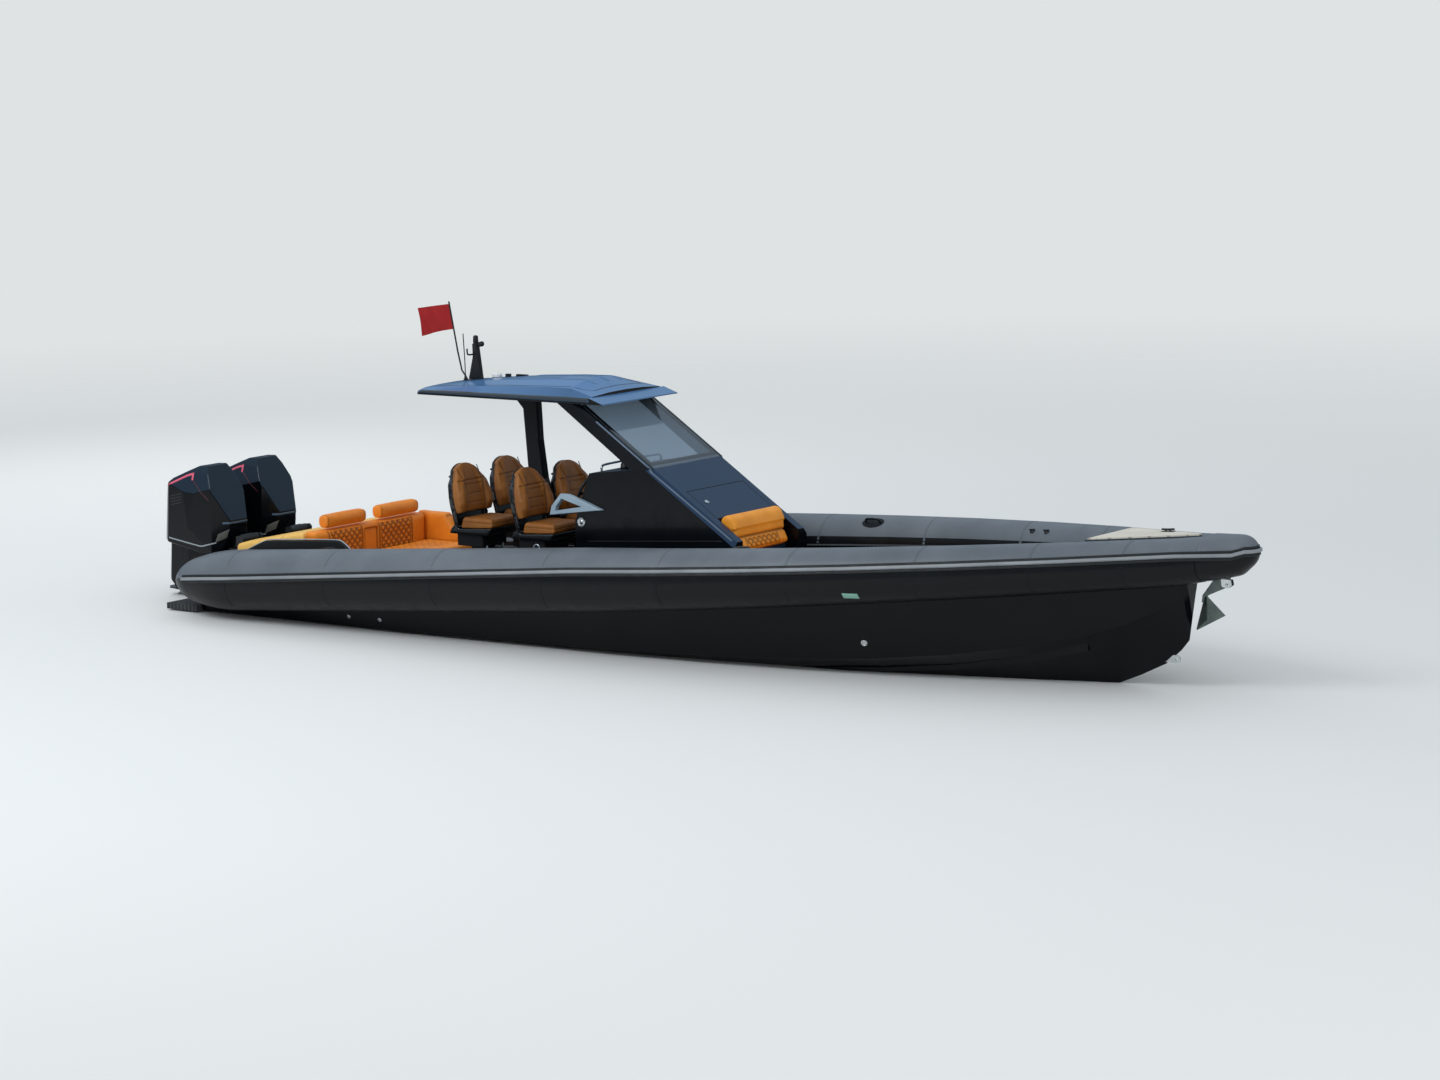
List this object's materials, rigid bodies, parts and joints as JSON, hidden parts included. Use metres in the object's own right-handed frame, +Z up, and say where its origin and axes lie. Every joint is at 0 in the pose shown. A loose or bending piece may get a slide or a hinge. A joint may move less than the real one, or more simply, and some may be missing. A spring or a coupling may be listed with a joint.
{
  "type": "rigid inflatable boat",
  "caption": "Rigid inflatable boat with a deep black hull, grey tubes, centre console, hardtop, helm seats, aft lounge and outboard engines.",
  "frame": {"origin": "centreline, amidships, on the waterline", "axes": "+X to the bow, +Y to port, +Z up"},
  "size_m": [12.488, 3.2654, 3.514],
  "materials": {
    "tube_fabric": "satin coated fabric",
    "gelcoat_black": "gloss gelcoat over laminate",
    "rail_rubber": "matt extruded rubber",
    "strake_rubber": "matt black rubber strip",
    "deck_gelcoat": "gloss gelcoat over laminate",
    "platform_panel": "moulded, non-slip",
    "deck_foam": "grooved closed-cell foam sheet",
    "console_gelcoat": "gloss gelcoat over laminate",
    "bow_upholstery": "quilted coated cloth",
    "roof_laminate": "gloss clear coat over laminate",
    "wing_laminate": "gloss clear coat over laminate",
    "tinted_glass": "tinted, polished",
    "black_coated_metal": "powder coated",
    "black_plastic": "moulded",
    "flag_cloth": "woven nylon",
    "stainless": "polished stainless steel",
    "wheel_rim": "stitched rim cover",
    "seat_shell": "gloss moulded shell",
    "seat_leather": "grained, stitched panels",
    "aft_upholstery": "diamond quilted coated cloth",
    "sunpad_cloth": "coated cloth",
    "engine_cowl": "gloss lacquer",
    "engine_paint": "gloss paint over cast aluminium",
    "engine_casting": "painted casting",
    "propeller_steel": "polished cast stainless steel"
  },
  "bodies": {
    "boat": {"tube_port": "tube_fabric", "tube_starboard": "tube_fabric", "bow_cap": "tube_fabric", "hull": "gelcoat_black", "rub_rails": "strake_rubber", "rail_beads": "rail_rubber", "swim_platforms": "platform_panel", "bow_step": "deck_gelcoat", "foredeck_pad": "deck_foam", "console": "console_gelcoat", "front_seat_base": "console_gelcoat", "front_seat_cushion": "bow_upholstery", "windscreen_pillars": "roof_laminate", "windscreen_glass": "tinted_glass", "hardtop": "roof_laminate", "roof_leg": "roof_laminate", "console_wings": "wing_laminate", "mast": "black_coated_metal", "roof_fittings": "black_plastic", "flag_staff": "black_coated_metal", "flag": "flag_cloth", "helm_column": "stainless", "helm_display": "black_plastic", "throttle": "black_plastic", "seat_shells": "seat_shell", "seat_backs": "seat_leather", "seat_bottoms": "seat_leather", "seat_pedestals": "black_coated_metal", "aft_module": "console_gelcoat", "bench_base": "console_gelcoat", "bench_seat_cushion": "aft_upholstery", "bench_back_cushions": "aft_upholstery", "headrest_rolls": "aft_upholstery", "sunpad": "sunpad_cloth", "engine_clamp_port": "engine_casting", "engine_clamp_starboard": "engine_casting", "anchor": "stainless", "bow_eye": "stainless", "stern_eye_port": "stainless", "stern_eye_starboard": "stainless", "cleats": "stainless"},
    "hatch": {"console_hatch": "console_gelcoat", "front_seat_back": "bow_upholstery"},
    "wheel": {"helm_wheel": "wheel_rim"},
    "bracket_port": {"swivel_port": "engine_casting"},
    "engine_port": {"cowl_port": "engine_cowl", "engine_leg_port": "engine_paint"},
    "prop_port": {"propeller_port": "propeller_steel"},
    "bracket_starboard": {"swivel_starboard": "engine_casting"},
    "engine_starboard": {"cowl_starboard": "engine_cowl", "engine_leg_starboard": "engine_paint"},
    "prop_starboard": {"propeller_starboard": "propeller_steel"}
  },
  "joints": [
    {"name": "console_hatch", "type": "hinge", "parent": "boat", "child": "hatch", "pos_m": [-0.017, 0, 1.471], "axis": [0, -1, 0], "range_deg": [0, 65]},
    {"name": "helm_wheel", "type": "hinge", "parent": "boat", "child": "wheel", "pos_m": [-1.28267, -0.27, 1.37587], "axis": [-0.9285, 0, 0.3714], "range_deg": [-540, 540]},
    {"name": "tilt_port", "type": "hinge", "parent": "boat", "child": "bracket_port", "pos_m": [-5.66, 0.368, 0.64], "axis": [0, 1, 0], "range_deg": [-8, 55]},
    {"name": "steer_port", "type": "hinge", "parent": "bracket_port", "child": "engine_port", "pos_m": [-5.85951, 0.368, 0.65395], "axis": [0.0698, 0, 0.9976], "range_deg": [-30, 30]},
    {"name": "prop_port", "type": "hinge", "parent": "engine_port", "child": "prop_port", "pos_m": [-6.51699, 0.368, -0.14714], "axis": [0.9976, 0, -0.0698], "continuous": true},
    {"name": "tilt_starboard", "type": "hinge", "parent": "boat", "child": "bracket_starboard", "pos_m": [-5.66, -0.368, 0.64], "axis": [0, 1, 0], "range_deg": [-8, 55]},
    {"name": "steer_starboard", "type": "hinge", "parent": "bracket_starboard", "child": "engine_starboard", "pos_m": [-5.85951, -0.368, 0.65395], "axis": [0.0698, 0, 0.9976], "range_deg": [-30, 30]},
    {"name": "prop_starboard", "type": "hinge", "parent": "engine_starboard", "child": "prop_starboard", "pos_m": [-6.51699, -0.368, -0.14714], "axis": [0.9976, 0, -0.0698], "continuous": true}
  ],
  "couplings": [
    {"joint": "steer_starboard", "follows": "steer_port", "ratio": 1}
  ]
}
